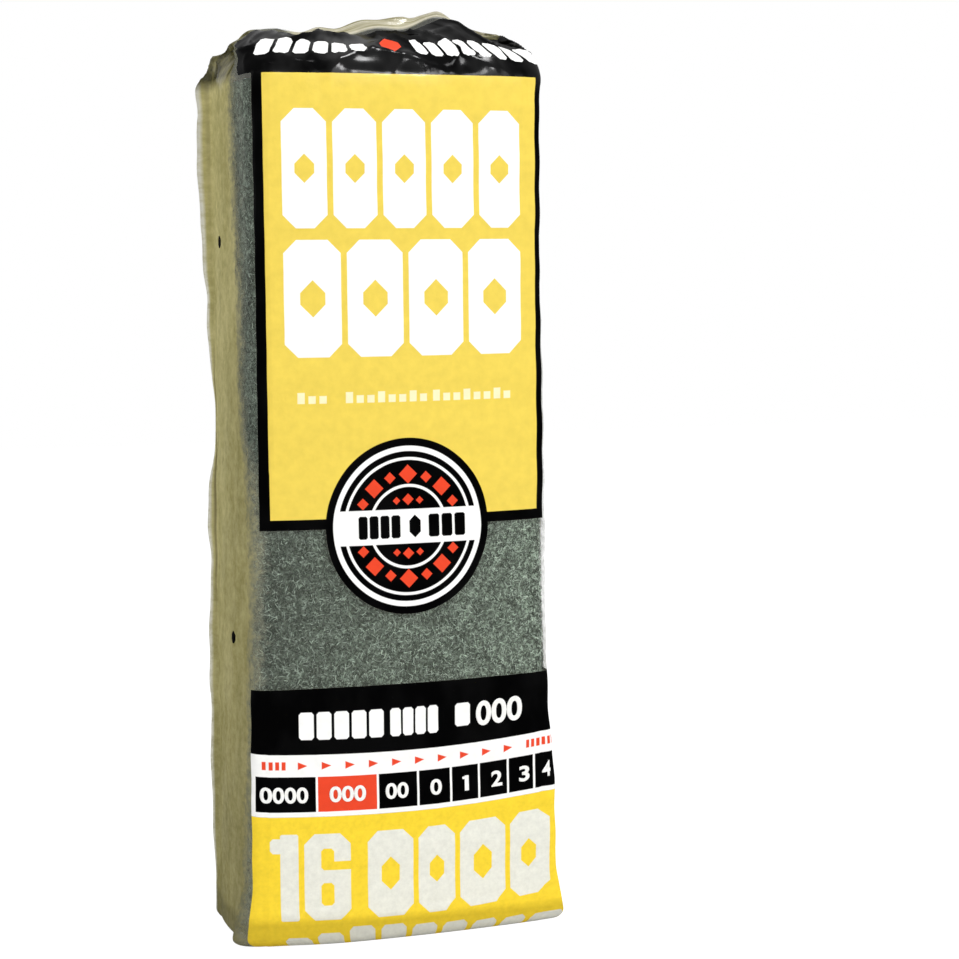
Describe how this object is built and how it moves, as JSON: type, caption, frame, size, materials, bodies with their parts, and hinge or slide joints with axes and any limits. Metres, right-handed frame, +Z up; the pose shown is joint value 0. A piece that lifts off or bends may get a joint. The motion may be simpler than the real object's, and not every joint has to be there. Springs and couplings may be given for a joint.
{
  "type": "steel wool pad pack",
  "caption": "Upright sleeve of stacked steel wool pads in printed clear film, folded flat underneath and gathered to a crimped fin on top.",
  "frame": {"origin": "centre of the base, on the surface that the pack stands on", "axes": "+Z up along the stack, -Y out of the printed front, +X to the right of the front"},
  "size_m": [0.125, 0.0665, 0.3357],
  "materials": {
    "printed_film": "clear glossy film with opaque yellow, black, white and red print",
    "steel_wool": "very fine grey-green steel fibres with small bright glints"
  },
  "bodies": {
    "root": {"film_sleeve": "printed_film", "pad_01": "steel_wool", "pad_02": "steel_wool", "pad_03": "steel_wool", "pad_04": "steel_wool", "pad_05": "steel_wool", "pad_06": "steel_wool", "pad_07": "steel_wool", "pad_08": "steel_wool", "pad_09": "steel_wool", "pad_10": "steel_wool", "pad_11": "steel_wool", "pad_12": "steel_wool", "pad_13": "steel_wool", "pad_14": "steel_wool", "pad_15": "steel_wool", "pad_16": "steel_wool"}
  },
  "joints": []
}
